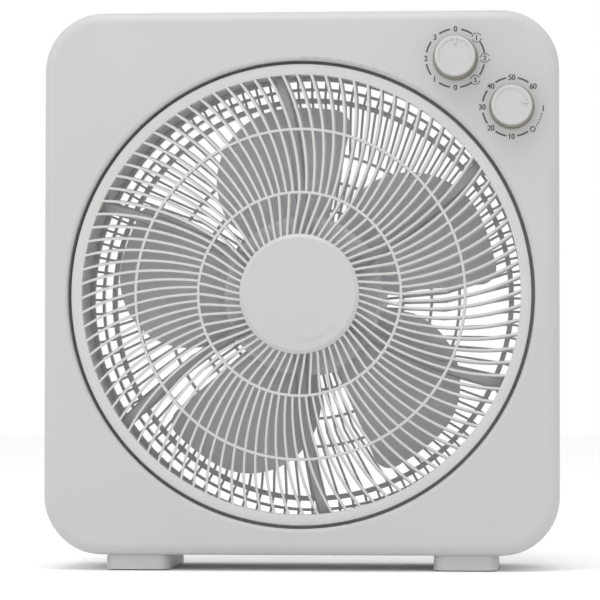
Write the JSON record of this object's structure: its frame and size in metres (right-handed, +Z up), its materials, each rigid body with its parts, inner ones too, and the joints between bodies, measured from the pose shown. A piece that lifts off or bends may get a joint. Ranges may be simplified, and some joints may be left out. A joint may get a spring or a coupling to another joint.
{
  "type": "box fan",
  "caption": "Square floor-standing box fan with a rotating louvred front grille, a bladed impeller behind it, a speed knob and a timer knob.",
  "frame": {"origin": "on the floor under the feet, in the middle of the overall width and depth", "axes": "+Z up, -Y towards the front grille, +X to the right seen from the front"},
  "size_m": [0.395, 0.1299, 0.428],
  "materials": {
    "white_shell": "satin white",
    "grille_white": "satin white",
    "rear_white": "satin white",
    "impeller_grey": "satin pale grey",
    "knob_white": "satin white",
    "black_plastic": "moulded black",
    "dark_rubber": "matt",
    "zinc_steel": "zinc plated",
    "shaft_steel": "ground",
    "bell_aluminium": "die cast",
    "lamination_steel": "varnished laminations",
    "enamelled_copper": "enamelled copper wire",
    "bronze": "oil-filled sintered bronze",
    "switch_plastic": "moulded cream",
    "plated_can": "tin plated"
  },
  "bodies": {
    "housing": {"front_housing": "white_shell", "rear_housing": "white_shell", "housing_screws": "zinc_steel", "cord_grommet": "dark_rubber", "left_foot": "white_shell", "right_foot": "white_shell", "foot_pads": "dark_rubber", "foot_screws": "zinc_steel", "front_spider": "grille_white", "spider_screws": "zinc_steel", "grille_motor": "plated_can", "grille_motor_cover": "grille_white", "grille_motor_screws": "zinc_steel", "motor_front_bell": "bell_aluminium", "motor_rear_bell": "bell_aluminium", "stator_core": "lamination_steel", "stator_windings": "enamelled_copper", "thermal_fuse": "black_plastic", "front_bearing": "bronze", "rear_bearing": "bronze", "motor_case_screws": "zinc_steel", "motor_mount_screws": "zinc_steel", "rear_grille": "rear_white", "rear_grille_screws": "zinc_steel", "speed_switch": "switch_plastic", "timer_body": "black_plastic", "control_screws": "zinc_steel", "run_capacitor": "black_plastic", "capacitor_screw": "zinc_steel"},
    "impeller_assembly": {"impeller": "impeller_grey", "impeller_spinner": "impeller_grey", "impeller_drive_pin": "shaft_steel", "motor_shaft": "shaft_steel", "motor_rotor": "lamination_steel"},
    "swirl_grille": {"rotating_grille": "grille_white", "grille_drive_hub": "black_plastic", "grille_motor_shaft": "shaft_steel"},
    "lock_cap": {"grille_lock_cap": "knob_white"},
    "speed_control": {"speed_knob": "knob_white", "speed_switch_shaft": "shaft_steel"},
    "timer_control": {"timer_knob": "knob_white", "timer_shaft": "shaft_steel"}
  },
  "joints": [
    {"name": "impeller_spin", "type": "hinge", "parent": "housing", "child": "impeller_assembly", "pos_m": [0, 0, 0.211], "axis": [0, 1, 0], "continuous": true},
    {"name": "swirl_grille_spin", "type": "hinge", "parent": "housing", "child": "swirl_grille", "pos_m": [0, 0, 0.211], "axis": [0, 1, 0], "continuous": true},
    {"name": "lock_cap_turn", "type": "hinge", "parent": "swirl_grille", "child": "lock_cap", "pos_m": [0, 0, 0.211], "axis": [0, -1, 0], "range_deg": [0, 45]},
    {"name": "speed_knob_turn", "type": "hinge", "parent": "housing", "child": "speed_control", "pos_m": [0.11867, 0, 0.39028], "axis": [0, 1, 0], "continuous": true},
    {"name": "timer_knob_turn", "type": "hinge", "parent": "housing", "child": "timer_control", "pos_m": [0.16152, 0, 0.3529], "axis": [0, 1, 0], "range_deg": [0, 325]}
  ]
}
